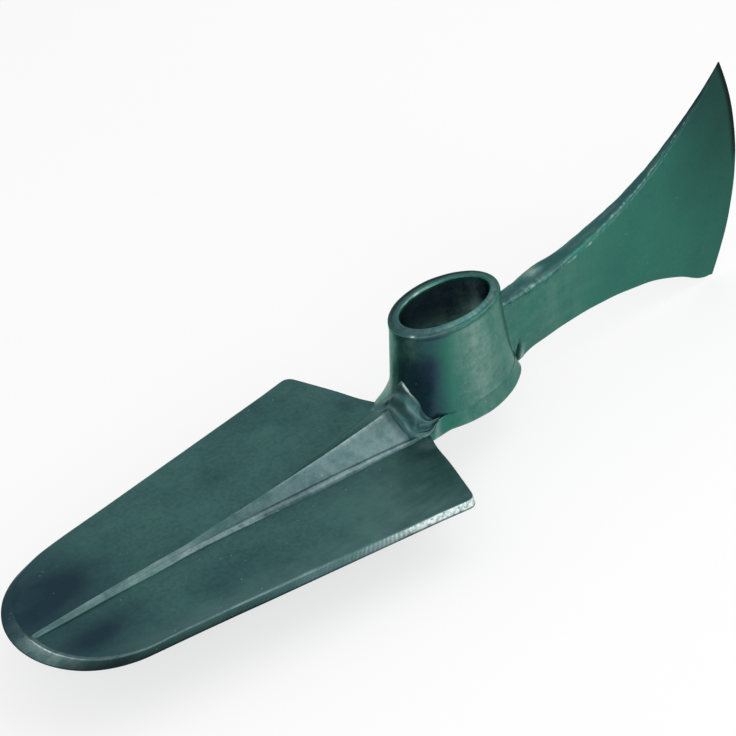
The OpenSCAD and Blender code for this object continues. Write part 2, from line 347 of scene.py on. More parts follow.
def enamel(name, paint, deep, worn_and_lit, cloudy, base_rough):
    """Green lacquer on steel: cloudy, darker where stains and painted shade are set, paler where rubbed paint
    and painted light are set, near black where painted shade alone is set.
    """
    material = bpy.data.materials.new(name)
    material.use_nodes = True
    tree = material.node_tree
    shader = tree.nodes["Principled BSDF"]
    coords = tree.nodes.new("ShaderNodeTexCoord").outputs["Object"]
    clouds = noise_field(tree, coords, 30, detail=5, rough=0.6)
    wipes = noise_field(tree, coords, 1, detail=4, rough=0.6, stretch=(45, 110, 70))
    drips = noise_field(tree, coords, 1, detail=4, rough=0.6, stretch=(110, 110, 26))
    grain = noise_field(tree, coords, 480, detail=3, rough=0.65)
    scuffs = noise_field(tree, coords, 170, detail=4, rough=0.7, stretch=(0.35, 1.6, 1))
    stain_and_shade = attribute_field(tree, "stain_and_shade")
    wear_and_light = attribute_field(tree, "wear_and_light")
    cloud_share = clouds.ramp(0.38, 0.7) + wipes.ramp(0.42, 0.75) * 0.45 + grain.ramp(0.4, 0.65) * 0.5
    colour = blend_colour(tree, cloud_share * cloudy, paint, deep)
    # Blue-black stains and painted shade darken the colour.
    colour = blend_colour(tree, (stain_and_shade * (clouds.ramp(0.15, 0.5) * 0.5 + 0.5)).at_most(1), colour, deep)
    patchy = drips.ramp(0.43, 0.57) * 0.27 + scuffs.ramp(0.43, 0.58) * 0.26
    patchy = patchy + grain.ramp(0.42, 0.62) * 0.25 + 0.11
    # Rubbed paint and painted light pale the colour towards the worn tone.
    rubbed_and_lit = wear_and_light.ramp(0, 1) * (patchy + (wear_and_light - 0.5).at_least(0) * 0.5)
    colour = blend_colour(tree, rubbed_and_lit, colour, worn_and_lit)
    specks = speck_field(tree, coords, 460, 0.22, 0.06) * clouds.ramp(0.42, 0.6)
    colour = blend_colour(tree, specks * 0.55, colour, worn_and_lit)
    # Painted shade darkens the colour nearly to black.
    colour = blend_colour(tree, attribute_field(tree, "shade"), colour, painted_shade_colour)
    # Past full wear the colour turns to bare steel, which also paints glints.
    bare_and_glinting = (wear_and_light - 1).ramp(0, 0.6) * grain.ramp(0.35, 0.55)
    colour = blend_colour(tree, bare_and_glinting, colour, bare_steel_and_glint)
    rough = scuffs.ramp(0.3, 0.7) * 0.1 + rubbed_and_lit * 0.12 + base_rough
    feed(tree, shader, Base_Color=colour, Roughness=rough, Metallic=0.85)
    feed(tree, shader, Specular_IOR_Level=0.25, Specular_Tint=(0.52, 0.70, 0.65, 1))
    feed(tree, shader, Coat_Weight=0.06, Coat_Roughness=0.12)
    relief = clouds * 0.5 + wipes * 0.12 + grain * 0.12 + scuffs * 0.2
    bump = feed(tree, tree.nodes.new("ShaderNodeBump"), Strength=0.3, Distance=0.001, Height=relief)
    feed(tree, shader, Normal=bump.outputs["Normal"])
    return material


green_enamel = enamel(
    "green_enamel",
    paint=(0.028, 0.160, 0.117),
    deep=(0.0205, 0.038, 0.066),
    worn_and_lit=(0.23, 0.35, 0.31),
    cloudy=0.17,
    base_rough=0.24,
)
# The same green enamel with a greyer colour, a painted reflection of the pale surroundings, for the upward
# faces of spade, rib, web and weld.
enamel_greyed_by_reflection = enamel(
    "enamel_greyed_by_reflection",
    paint=(0.044, 0.117, 0.110),
    deep=(0.010, 0.028, 0.042),
    worn_and_lit=(0.212, 0.30, 0.305),
    cloudy=0.38,
    base_rough=0.36,
)
print("two enamels made")

# %% [markdown]
# ## Socket
# The socket is a tube with an oval section. Its wall spreads towards the foot, most on the axe's side,
# and its bore opens towards the underside, so that a handle driven in from below wedges tight. That is a
# rule with a few sizes, so Geometry Nodes make it: a plain strip of points carries the turn round the
# oval, the height and how far a point lies between wall and bore, and the tree puts each point in place.

# %% Socket: sizes and section
SOCKET_H, RIM_L, RIM_W, SOCKET_WALL = 52.0, 58.5, 38.5, 5.0
FLARE_AXE, FLARE_SPADE, FLARE_SIDE, BORE_FLARE = 7.5, 6.0, 2.0, 2.0
AXE_POWER, SPADE_POWER = 1.6, 1.1
PLATE_T = 4.0
rim_round, rim_lip, rim_sag, rim_zone = 1.2, 0.7, 0.3, 5.0


def ease(value, start, end):
    """0 up to start, 1 from end on, with soft ends."""
    share = np.clip((np.asarray(value, float) - start) / (end - start), 0, 1)
    return share * share * (3 - 2 * share)


def bell(value, middle, spread):
    """1 at the middle, falling off softly to both sides."""
    return np.exp(-((np.asarray(value, float) - middle) / spread) ** 2)


def socket_profile():
    """Height, inset from the wall or bore, and share between wall and bore, round one closed section."""
    up = [(z, 0, 0) for z in np.linspace(PLATE_T, SOCKET_H - rim_round, 44)]
    turn_in = [
        (SOCKET_H - rim_round * (1 - math.sin(a)), rim_round * (1 - math.cos(a)), 0)
        for a in np.linspace(0, math.pi / 2, 8)[1:]
    ]
    across = [(SOCKET_H - rim_sag * math.sin(math.pi * s), rim_round, s) for s in np.linspace(0, 1, 10)[1:]]
    turn_down = [
        (SOCKET_H - rim_round * (1 - math.cos(a)), rim_round * (1 - math.sin(a)), 1)
        for a in np.linspace(0, math.pi / 2, 8)[1:]
    ]
    down = [(z, 0, 1) for z in np.linspace(SOCKET_H - rim_round, PLATE_T, 30)[1:]]
    back = [(PLATE_T, 0, s) for s in (0.66, 0.33)]
    return np.array(up + turn_in + across + turn_down + down + back)


profile = socket_profile()
print("socket section of", len(profile), "points")

# %% [markdown]
# ## Geometry trees
# A tree needs an input for each size, a node that puts the points in place and an end that realizes
# instances and sets the material. The helpers below make these, so that each piece only has to say its
# own rule. The last one runs the tree and keeps its result as a plain mesh.

# %% Geometry trees
LUMP_SCALE, LUMP_DETAIL = 55, 1.5


def named_field(tree, name):
    node = tree.nodes.new("GeometryNodeInputNamedAttribute")
    node.data_type = "FLOAT"
    node.inputs["Name"].default_value = name
    return Field(tree, node.outputs["Attribute"])


def start_tree(name, sizes):
    """A geometry tree with named sizes, its group input and those sizes as fields."""
    tree = bpy.data.node_groups.new(name, "GeometryNodeTree")
    tree.interface.new_socket("Geometry", in_out="INPUT", socket_type="NodeSocketGeometry")
    tree.interface.new_socket("Geometry", in_out="OUTPUT", socket_type="NodeSocketGeometry")
    for key, value in sizes.items():
        socket = tree.interface.new_socket(key, in_out="INPUT", socket_type="NodeSocketFloat")
        socket.default_value = value
    group = tree.nodes.new("NodeGroupInput")
    return tree, group, {key: Field(tree, group.outputs[key]) for key in sizes}


def end_tree(tree, group, place, waviness, material):
    """Puts the points in place, adds the unevenness of a forging and sets the material."""
    vector = tree.nodes.new("ShaderNodeCombineXYZ")
    for slot, field in zip(vector.inputs, place):
        tree.links.new(field.socket, slot)
    lumps = feed(tree, tree.nodes.new("ShaderNodeTexNoise"), Scale=LUMP_SCALE, Detail=LUMP_DETAIL)
    normal = tree.nodes.new("GeometryNodeInputNormal")
    push = tree.nodes.new("ShaderNodeVectorMath")
    push.operation = "SCALE"
    tree.links.new(normal.outputs["Normal"], push.inputs[0])
    feed(tree, push, Scale=(Field(tree, lumps.outputs["Fac"]) - 0.5) * waviness)
    steps = (
        ("GeometryNodeSetPosition", {"Position": vector.outputs["Vector"]}),
        ("GeometryNodeSetPosition", {"Offset": push.outputs["Vector"]}),
        ("GeometryNodeRealizeInstances", {}),
        ("GeometryNodeSetMaterial", {"Material": material}),
        ("NodeGroupOutput", {}),
    )
    last = group
    for kind, inputs in steps:
        last = feed(tree, tree.nodes.new(kind), Geometry=last.outputs["Geometry"], **inputs)


def run_tree(obj, tree, sizes):
    """Runs a geometry tree on an object and keeps the result as its plain mesh."""
    modifier = obj.modifiers.new(tree.name, "NODES")
    modifier.node_group = tree
    for item in tree.interface.items_tree:
        if item.in_out == "INPUT" and item.name in sizes:
            modifier[item.identifier] = sizes[item.name]
    bpy.context.view_layer.update()
    graph = bpy.context.evaluated_depsgraph_get()
    result = obj.evaluated_get(graph)
    mesh = bpy.data.meshes.new_from_object(result, preserve_all_data_layers=True, depsgraph=graph)
    obj.modifiers.remove(modifier)
    obj.data = mesh
    mesh.shade_smooth()
    mesh.set_sharp_from_angle(angle=math.radians(SHARP_ANGLE))
    print(obj.name, len(mesh.vertices), "points from", len(tree.nodes), "nodes")


print("tree helpers ready")

# %% [markdown]
# ## Socket: a strip of points
# The strip is a ring of columns, and each column runs up the wall, over the rim and down the bore. It only
# carries numbers: the turn, the height and how far a point stands in from the wall or bore. The rim has a
# small lip and a higher inner edge, and on the far side the wall runs out in a fillet.

# %% Socket: a strip of points
socket_sizes = {
    "Socket Height": SOCKET_H * MM,
    "Rim Length": RIM_L * MM,
    "Rim Width": RIM_W * MM,
    "Wall": SOCKET_WALL * MM,
    "Flare To Axe": FLARE_AXE * MM,
    "Flare To Spade": FLARE_SPADE * MM,
    "Flare To Side": FLARE_SIDE * MM,
    "Bore Flare": BORE_FLARE * MM,
    "Waviness": 0.7 * MM,
}
turns = np.linspace(0, 2 * math.pi, 180, endpoint=False)
loose_r = 60
strip = np.array(
    [[(loose_r * math.cos(a), loose_r * math.sin(a), z) for z in range(len(profile))] for a in turns]
)
level, share = profile[:, 0], profile[:, 2]
below_rim = SOCKET_H - level
ring = turns[:, None]


def facing(turn, degrees, sharpness=1.0):
    """1 where a turn points to an angle, falling to 0 on the opposite side."""
    return (0.5 + 0.5 * np.cos(turn - math.radians(degrees))) ** sharpness


def spot(turn, degrees, spread):
    """A soft spot of wear round one angle."""
    return bell(turn, math.radians(degrees), math.radians(spread))


inner_rise, far_rise, far_fillet, fillet_top = 1.3, 0.9, 8.0, 24.0
lift = share * inner_rise + (1 - share) * far_rise * facing(ring, 50)
heights = level + lift * ease(level, SOCKET_H - rim_zone, SOCKET_H)
lip = (1 - ease(below_rim, 0.6, rim_zone)) * (1 - share)
lip_turn = rim_lip * (0.45 + 0.75 * np.sin(ring))
fillet = np.clip((fillet_top - level) / (fillet_top - PLATE_T), 0, 1)
fillet = far_fillet * fillet ** 2 * (share == 0)
insets = profile[:, 1] - lip * lip_turn
insets = insets - fillet * spot(ring, 138, 21)
print("socket strip of", strip.shape[0], "by", strip.shape[1], "points")

# %% [markdown]
# ## Socket: worn paint and painted light
# The rim is rubbed by hands and handles, and its edges carry painted highlights and painted shade. The left
# of the wall carries a painted reflection of the dark spade below it beside a strip of painted light, the
# near right of the wall is painted lighter, and painted shade makes the bore nearly black, with painted
# light on its lower part. Each of these is a share for every point of the strip. A soft step or spot round
# the oval says on which side it lies, and the height says where it ends.

# %% Socket: worn paint and painted light
def between(turn, start, full, fading, end):
    """1 from one turn to another, in degrees, with soft ends."""
    start, full, fading, end = np.radians((start, full, fading, end))
    return ease(turn, start, full) - ease(turn, fading, end)


def patchy_ring(pace, row, middle, most):
    """An uneven share round the ring, from a fixed noise."""
    swings = np.array([noise.noise(Vector((a * pace, row, 0))) for a in turns])
    return (middle + 0.9 * swings).clip(0, most)[:, None]


on_rim = (share > 0) & (share < 1)
on_wall = (share == 0) & (below_rim > 1.5)
in_bore = (share >= 1) & (below_rim > 1.5)
outer_edge = bell(below_rim, 0.5, 0.5) * (share == 0)
inner_edge = bell(below_rim, 0.5, 0.5) * (share >= 1)
broken = patchy_ring(7, 1.7, 0.55, 1.0)
rough_ring = patchy_ring(16, 4.1, 0.6, 1.3)

# Rubbed paint and painted highlights on the rim's edges: the spots are painted glints on the near outer edge
# and along the far inner edge.
near_rub_and_glint = 0.1 + 0.5 * facing(ring, 265, 1.5) * broken + 1.3 * spot(ring, 204, 4)
inner_rub_and_glint = 0.1 + (0.6 + broken) * spot(ring, 103, 26) + 0.6 * spot(ring, 20, 5)
inner_rub_and_glint = inner_rub_and_glint + 0.35 * spot(ring, 270, 45) * broken
ring_rub = 0.12 + 0.45 * facing(ring, 305) * rough_ring
# Painted light on the near right of the wall, and a lit strip on its left that is lighter lower down; a
# rubbed patch sits high on the left.
wall_light = 0.45 * between(ring, 238, 262, 330, 350) + 0.33 * spot(ring, 268, 19)
left_light = between(ring, 115, 135, 177, 183) * (0.95 - 0.45 * ease(level, 18, 36))
upper_left = 0.5 * spot(ring, 197, 13) * ease(level, 34, 44)
# Painted light in the bore, on its lower part and on its side towards the axe.
lit_bore = 0.75 * spot(ring, 20, 45) + 0.9 * (1 - ease(level, 29, 42))
socket_wear_and_light = (
    on_rim * ring_rub
    + outer_edge * near_rub_and_glint
    + inner_edge * inner_rub_and_glint
    + on_wall * (wall_light + left_light + upper_left)
    + in_bore * (0.1 + 0.5 * lit_bore)
)

# A painted reflection of the dark spade on the left of the wall, weaker towards the rim.
mirrored = between(ring, 180, 188, 224, 245)
mirrored = mirrored * (0.74 + 0.26 * ease(ring, math.radians(195), math.radians(220)))
mirror_h = (1 - 0.45 * ease(level, 36, 44)) * (below_rim > 1.8)
# The rim's top is dark; painted shade darkens the top of the outer wall on the far side and the near left.
ring_dark = 0.95 - 0.27 * facing(ring, 285)
outer_edge_shade = 0.7 * facing(ring, 60, 2) + 0.65 * spot(ring, 232, 26)
# Painted shade makes the bore nearly black, except where it is painted light.
socket_dark_and_shade = (
    on_rim * ring_dark
    + (share == 0) * (below_rim < 3) * outer_edge_shade
    + on_wall * mirror_h * mirrored
    + in_bore * (2.0 - 1.4 * lit_bore).clip(0.8)
)
# Painted shade: a dark line along the far outer rim edge, and duller inner and near outer rim edges.
far_rim_shade = ((share < 0.3) & (below_rim < 0.6)) * 0.8 * facing(ring, 95, 1.5)
rim_edge_shade = inner_edge * 0.5 * (1 - spot(ring, 103, 30))
rim_edge_shade = rim_edge_shade + outer_edge * 0.4 * facing(ring, 240, 2)
print("socket wear up to", round(float(socket_wear_and_light.max()), 2))

# %% [markdown]
# ## Socket: the tree
# The tree reads the numbers of the strip. The wall spreads with a power of the depth below the rim, the
# bore opens evenly, and a point between them is a mix of the two. A cosine and a sine of the turn then put
# it on the oval.

# %% Socket: the tree
socket_tube = skin_rows(
    "socket_tube",
    strip,
    {
        "turn": ring,
        "height": heights * MM,
        "inset": insets * MM,
        "bore": share,
        "wear_and_light": socket_wear_and_light,
        "stain_and_shade": socket_dark_and_shade,
        "shade": far_rim_shade + rim_edge_shade,
    },
    closed_rows=True,
)
tree, group, size = start_tree("oval_flared_tube", socket_sizes)
turn, height, inset, bore = (named_field(tree, key) for key in ("turn", "height", "inset", "bore"))
drop = (size["Socket Height"] - height).at_least(0) / size["Socket Height"]
to_axe = turn.cos().above(0)
spread = mix(size["Flare To Spade"] * drop ** SPADE_POWER, size["Flare To Axe"] * drop ** AXE_POWER, to_axe)
outer_long = size["Rim Length"] * 0.5 + spread - inset
outer_wide = size["Rim Width"] * 0.5 + size["Flare To Side"] * drop ** SPADE_POWER - inset
opening = size["Bore Flare"] * drop - size["Wall"] + inset
half_long = mix(outer_long, size["Rim Length"] * 0.5 + opening, bore)
half_wide = mix(outer_wide, size["Rim Width"] * 0.5 + opening, bore)
on_oval = (half_long * turn.cos(), half_wide * turn.sin(), height)
end_tree(tree, group, on_oval, size["Waviness"], green_enamel)
run_tree(socket_tube, tree, socket_sizes)
use_for(socket_tube, "eye_socket", green_enamel)

# %% [markdown]
# ## Collar
# Round the foot of the socket the steel was forged out into a low band, which also makes the neck that
# carries the spade. Its outline is the outer one of two shapes, an oval and a straight neck, so it is
# drawn as a distance from the axis for each turn. A section that leans in towards the wall is swept
# round that outline, and the band gets lower where the neck runs into the spade.

# %% Collar
COLLAR_LIP, NECK_W, TANG_X = 0.5, 37.0, 37.0
band_top, neck_top, band_from, band_full = 9.0, 4.3, -29.5, -25.5


def wall_drop(z, power):
    """Depth below the rim as a share of the socket, raised to a power."""
    return (np.maximum(0, SOCKET_H - np.asarray(z, float)) / SOCKET_H) ** power


def wall_spread(to_axe, z):
    """How far the wall spreads along the head at a height, towards the axe or the spade."""
    return np.where(to_axe, FLARE_AXE * wall_drop(z, AXE_POWER), FLARE_SPADE * wall_drop(z, SPADE_POWER))


def oval_reach(turn, half_l, half_w):
    """Distance from the axis to an oval, in the direction of a turn."""
    return 1 / np.hypot(np.cos(turn) / half_l, np.sin(turn) / half_w)


def softened(values, reach):
    """A closed row of values, each replaced by a weighted mean of its neighbours."""
    steps = np.arange(-3 * reach, 3 * reach + 1)
    weights = np.exp(-(steps / reach) ** 2)
    moved = [np.roll(values, k) * w for k, w in zip(steps, weights)]
    return sum(moved) / weights.sum()


turns = np.linspace(0, 2 * math.pi, 240, endpoint=False)
along, aside = np.cos(turns), np.sin(turns)
flare = np.where(along > 0, FLARE_AXE, FLARE_SPADE)
oval = oval_reach(turns, RIM_L / 2 + flare + COLLAR_LIP, RIM_W / 2 + FLARE_SIDE + COLLAR_LIP)
neck = np.minimum(TANG_X / np.abs(along).clip(1e-6), NECK_W / 2 / np.abs(aside).clip(1e-6))
reach = softened(np.maximum(oval, np.where(along < 0, neck, 0)), 2)
reach = reach + 0.8 * spot(turns, 285, 40) + 0.9 * spot(turns, 349, 11)
bore_reach = oval_reach(turns, RIM_L / 2 - SOCKET_WALL + BORE_FLARE, RIM_W / 2 - SOCKET_WALL + BORE_FLARE)


def band_level(x):
    """Height of the band's upper edge at a place along the head."""
    return neck_top + (band_top - neck_top) * ease(x, band_from, band_full)


band_h = band_level(reach * along)
spread = wall_spread(along > 0, band_top)
wall = oval_reach(turns, RIM_L / 2 + spread, RIM_W / 2 + FLARE_SIDE * wall_drop(band_top, SPADE_POWER))
band_lean = np.minimum(reach - wall + 0.02, 0.9 + 1.7 * ease(along, -0.85, -0.3))

rise = np.linspace(0, 1, 14)
lower_edge, upper_edge = ((1.1, 0.0), (0.4, 0.12), (0.1, 0.5)), ((0.5, 0.15), (2.5, -0.2))
side_start, band_end_x = 1.2, -27.0
rows, worn_and_lit, dark = [], [], []
for i in range(len(turns)):
    low = [(reach[i] - inset, z) for inset, z in lower_edge]
    side = [(reach[i] - band_lean[i] * k ** 0.75, side_start + (band_h[i] - side_start) * k) for k in rise]
    top = [(reach[i] - band_lean[i] - inset, band_h[i] + z) for inset, z in upper_edge]
    inner = [(bore_reach[i], PLATE_T), (bore_reach[i], 0.0)]
    points = low + side + top + inner
    rows.append([(r * along[i], r * aside[i], z) for r, z in points])
    heights = np.array([z for r, z in points])
    right = ease(turns[i], math.radians(225), math.radians(240))
    # A painted highlight on the rounded end of the band on the near side.
    band_end_highlight = bell(reach[i] * along[i], band_end_x, 2.2) * (aside[i] < 0)
    worn_and_lit.append(0.4 * bell(heights, 0.6, 0.7) + 0.3 * right + 0.3 * spot(turns[i], 266, 16) + band_end_highlight)
    seam_dots = max(0, 0.5 + 1.2 * noise.noise(Vector((turns[i] * 14, 0.3, 0))))
    line = ease(reach[i] * along[i], -22, -18) * (1 - ease(along[i], -0.1, 0.6)) * seam_dots
    dark.append(0.9 * bell(heights, band_h[i], 0.7) * line)
collar = skin_rows("collar", forged(rows, 0.12, 0.12, 3), {"wear_and_light": worn_and_lit, "stain_and_shade": dark}, closed_rows=True)
use_for(collar, "socket_collar", green_enamel)

# %% [markdown]
# ## Weld and neck web
# The socket was hammered and welded on to the root of the spade. The metal was drawn down in steps, so a
# bead runs along the wall's foot, with a second fold below it that ends at the root of the rib. Each
# column of the web starts on the wall, falls in a hollow curve to its foot, and two rounded folds are
# added to that curve. The bead nearest to the wall is the weld, and the rest is the web.

# %% Weld and neck web: foot and seam
RIB_X, RIB_W, RIB_H, RIDGE_W, RIDGE_H, FOOT_W = 39.5, 33.0, 9.4, 6.4, 1.7, 1.8
BLADE_L, BLADE_RISE, WELD_SHARE = 242.0, 7.5, 0.36
web_turn, rib_turn = math.radians(57), math.radians(30)
web_end_x, web_sink = -20.5, 0.6
web_side = ((0, 0.6, 1), (RIB_W / 2, 18.5, 16.4))
seam_degrees = (-57, -48, -41, -28, -18, -8, 0, 6, 18, 29, 35, 41, 49, 57)
seam_heights = (6, 8, 10, 14, 18, 22.5, 26, 29.5, 24.6, 19.0, 11.0, 8.6, 8.0, 7.7)


def plate_top(x):
    """Height of the top of neck and spade at a place along the head."""
    return PLATE_T + np.maximum(0, BLADE_RISE * (-np.asarray(x, float) - TANG_X) / (BLADE_L - TANG_X))


def wall_oval(turn, z, out=0.0):
    """Points of the socket's wall, or of an oval outside it."""
    spread = wall_spread(np.cos(turn) > 0, z)
    half_w = RIM_W / 2 + FLARE_SIDE * wall_drop(z, SPADE_POWER) + out
    return np.stack([(RIM_L / 2 + spread + out) * np.cos(turn), half_w * np.sin(turn), z + 0 * turn], -1)


def rounded(values, reach):
    """An open row of values with its corners rounded."""
    weights = np.hanning(2 * reach + 3)[1:-1]
    padded = np.pad(values, reach, mode="reflect", reflect_type="odd")
    return np.convolve(padded, weights / weights.sum(), "valid")


columns = np.linspace(-web_turn, web_turn, 125)
degrees = np.degrees(columns)
off_line = np.abs(columns) / web_turn
back = np.clip((np.abs(columns) - rib_turn) / (web_turn - rib_turn), 0, 1)
foot_x = -RIB_X + (web_end_x + RIB_X) * back
foot_y = np.where(
    back > 0,
    -np.sign(columns) * np.interp(back, *web_side),
    -RIB_W / 2 * columns / rib_turn,
)
rib_z = np.where(
    foot_y > 0,
    RIB_H * np.maximum(0, 1 - foot_y / (RIB_W / 2)) ** 1.8,
    RIB_H * np.maximum(0, 1 + foot_y / (RIB_W / 2 - FOOT_W)),
)
foot_z = plate_top(foot_x) + np.where(back > 0, 0.6 * np.sin(back * math.pi / 2), rib_z)
foot_z = np.where(columns > rib_turn, np.maximum(foot_z, band_level(foot_x) - 0.4), foot_z)
foot_x, foot_y, foot_z = (rounded(values, 10) for values in (foot_x, foot_y, foot_z))
wall_h = rounded(np.interp(degrees, seam_degrees, seam_heights), 5)
hollow = 1.6 - 0.6 * ease(np.abs(degrees), 20, 45)
upper_fold, lower_fold = 0.40 - 0.22 * off_line ** 2, 0.76 + 0.16 * off_line ** 2
# Where a painted highlight runs along the seam; a small bead is raised there too.
seam_highlight = spot(columns, 15, 10)
print("web of", len(columns), "columns, up to", round(float(wall_h.max()), 1), "mm high")

# %% [markdown]
# ## Weld and neck web: columns
# Every column is the same curve with other sizes, so one function gives its points and two more give its
# rubbed and its dark paint. The weld and the web are then the upper and the lower share of all columns.

# %% Weld and neck web: columns
def web_column(i, shares):
    """Points of one column of the web, from the wall at share 0 to its foot at share 1."""
    start = wall_oval(math.pi + columns[i], wall_h[i], -web_sink)
    z = foot_z[i] + (start[2] - foot_z[i]) * (1 - shares) ** hollow[i]
    fade = (1 - off_line[i] ** 6) * (1 - ease(-degrees[i], 10, 30))
    folds = ((upper_fold[i], 0.09, 0.8), (lower_fold[i], 0.09, 0.75), (0.06, 0.05, 0.6 * seam_highlight[i]))
    for place, width, lift in folds:
        z = z + lift * fade * bell(shares, place, width)
    x = start[0] + (foot_x[i] - start[0]) * shares
    return np.stack([x, start[1] + (foot_y[i] - start[1]) * shares, z], -1)


def web_wear_and_light(i, shares):
    """Rubbed paint and painted light of one column: both folds rubbed, a painted highlight on the seam, a
    light line on the near foot and painted light on the far side.
    """
    uneven = 0.55 + 0.9 * noise.noise(Vector((columns[i] * 6, 0.4, 0)))
    ridge = sum(bell(shares, place, 0.06) for place in (upper_fold[i], lower_fold[i]))
    seam = 2.1 * seam_highlight[i] * bell(shares, 0.08, 0.04)
    foot_line = 0.7 * ease(degrees[i], 28, 36) * bell(shares, 0.97, 0.06)
    # Painted light on the far side of the web.
    far_light = 0.3 * ease(-degrees[i], 8, 20)
    return 0.6 * ridge * uneven + seam + foot_line + far_light


def web_shade(i, shares):
    """Painted shade of one column: the hollows beside the folds, under the seam, the corner by the rib and
    the near lower part.
    """
    middle = (upper_fold[i] + lower_fold[i]) / 2
    by_rib = 0.7 * (1 - ease(degrees[i], 28, 40)) * bell(shares, 0.97, 0.06)
    groove = 0.55 * bell(shares, middle, 0.09) + by_rib
    under_seam = 0.5 * bell(shares, upper_fold[i] * 0.55, 0.08) * (1 - seam_highlight[i])
    near_part = 1 - ease(-degrees[i], 8, 25)
    near_low = 0.15 * ease(degrees[i], 15, 35) * ease(shares, 0.25, 0.5)
    return (groove + under_seam) * near_part + near_low + 0.1


def web_piece(name, node, first, last, steps):
    """The part of the web between two shares of its columns, as one closed piece."""
    shares = np.linspace(first, last, steps)
    rows, worn_and_lit, dark = [], [], []
    for i in range(len(columns)):
        top = web_column(i, shares)
        base = top[::-1].copy()
        base[:, 2] = plate_top(base[:, 0]) - web_sink
        rows.append(np.vstack([top, base]))
        worn_and_lit.append(np.concatenate([web_wear_and_light(i, shares), np.zeros(steps)]))
        dark.append(np.concatenate([web_shade(i, shares), np.zeros(steps)]))
    piece = skin_rows(name, forged(rows, 0.4, 0.22, 9), {"wear_and_light": worn_and_lit, "stain_and_shade": dark})
    use_for(piece, node, enamel_greyed_by_reflection)


web_piece("weld_bead", "socket_weld", 0, WELD_SHARE, 26)
web_piece("web", "neck_web", WELD_SHARE, 1, 44)

# %% [markdown]
# ## Spade blade
# The spade is a flat plate with a rounded tip. Its sides were sheared and bevelled, the tip was ground
# thin, and its middle is a little hollow. Each row of the mesh below is one slice across the blade: its
# ends lie on the outline, the bevel rises from there, and the top runs across from bevel to bevel. The
# first slices fan out from the end of the neck, so that the notch behind the shoulders stays open.

# %% Spade blade: outline
SHOULDER_X, NOTCH_X, BLADE_W, BLADE_TAPER = 46.0, 29.5, 134.0, math.radians(8.7)
SIDE_BEVEL, TIP_BEVEL, SHOULDER_ROUND = 1.3, 6.2, 4.5
GRIND_PITCH = 2.2
dish_from, dish_full, tip_ease = 60.0, 130.0, 15.0
slim_places, slim_widths = (150, 185, 215, 235), (0, 0.4, 0.4, 0)
blade_land, blade_dish, tip_thinning, thin_from = 0.8, 0.6, 1.9, 190.0
edge_back, edge_bow = 1.1, 0.9
side_places, side_shifts = (46, 65, 120, 165, 205, 230, 242), (0, -0.5, -0.35, -0.2, 0.4, 0.7, 0.3)


def blade_outline(tip, half_w):
    """One side of the spade in plan, from the notch round the shoulder to the tip."""
    slope, cos_t, sin_t = math.tan(BLADE_TAPER), math.cos(BLADE_TAPER), math.sin(BLADE_TAPER)
    radius = (half_w - slope * (tip - SHOULDER_X)) * cos_t / (1 - sin_t)
    notch, corner = np.array([-NOTCH_X - edge_back, NECK_W / 2]), np.array([-SHOULDER_X - edge_back, half_w])
    to_notch = (notch - corner) / np.linalg.norm(notch - corner)
    start, end = corner + SHOULDER_ROUND * to_notch, corner - SHOULDER_ROUND * np.array([cos_t, sin_t])
    angles = np.linspace(math.pi / 2 + BLADE_TAPER, math.pi, 48)
    arc = np.stack([radius - tip + radius * np.cos(angles), radius * np.sin(angles)], -1)
    straight = np.linspace(0, 1, 300)[1:-1, None]
    edge = np.linspace(0, 1, 20)[:-1, None]
    bow = np.hstack([-edge_bow * bell(edge, 0.2, 0.2), 0 * edge])
    line = np.vstack([
        notch + (start - notch) * edge + bow,
        bend(start, corner, end, 9),
        end + (arc[0] - end) * straight,
        arc,
    ])
    line[:, 1] += np.interp(-line[:, 0], side_places, side_shifts) * np.clip(line[:, 1] / tip_ease, 0, 1)
    return line


def blade_thickness(x):
    return PLATE_T - tip_thinning * ease(-np.asarray(x, float), thin_from, BLADE_L)


def blade_hollow(x, across):
    return blade_dish * (1 - across ** 2) * ease(-np.asarray(x, float), dish_from, dish_full)


outer = blade_outline(BLADE_L, BLADE_W / 2)
inner = blade_outline(BLADE_L - TIP_BEVEL, BLADE_W / 2 - SIDE_BEVEL / math.cos(BLADE_TAPER))
edge_shape = np.vstack([
    bend((0.12, 0.0), (0, 0), (0, 0.3), 4),
    bend((0, blade_land - 0.3), (0, blade_land), (0.12, blade_land + 0.38), 5),
    bend((0.8, PLATE_T - 0.64), (1, PLATE_T), (1.25, PLATE_T), 6),
])
across = np.sin(np.linspace(-1, 1, 63) * math.pi / 2)
print("spade of", len(outer), "slices")

# %% [markdown]
# ## Spade blade: slices, wear and painted light
# The near edge was ground on a wheel. Near the shoulder it is bare and carries a painted highlight, further
# on the marks of the wheel show as small ticks, and towards the tip painted shade darkens the edge. The
# tip's bevel has a band of painted light, the arris of the near edge a painted highlight, and the near
# part of the pan a painted reflection. The slices lie close enough together to carry the ticks, so all of
# this is stored on the points.

# %% Spade blade: slices, wear and painted light
edge_share = edge_shape[:, 0].clip(0, 1)
bevel = np.concatenate([edge_share, np.ones(len(across) - 2), edge_share[::-1], [1]])
edge_level = edge_shape[:, 1]
upper = np.concatenate([edge_level, np.full(len(across) - 2, PLATE_T), edge_level[::-1], [0]]) / PLATE_T
# Each stain: place along and aside, length, width and depth.
stains = (
    (-209, 17, 18, 11, 0.7), (-214, -19, 17, 8, 0.8), (-229, 18, 14, 18, 0.5), (-44, -24, 6, 5, 0.35),
    (-43, 27, 4, 5, 0.4), (-120, 30, 22, 6, 0.2), (-150, -28, 24, 7, 0.2),
)


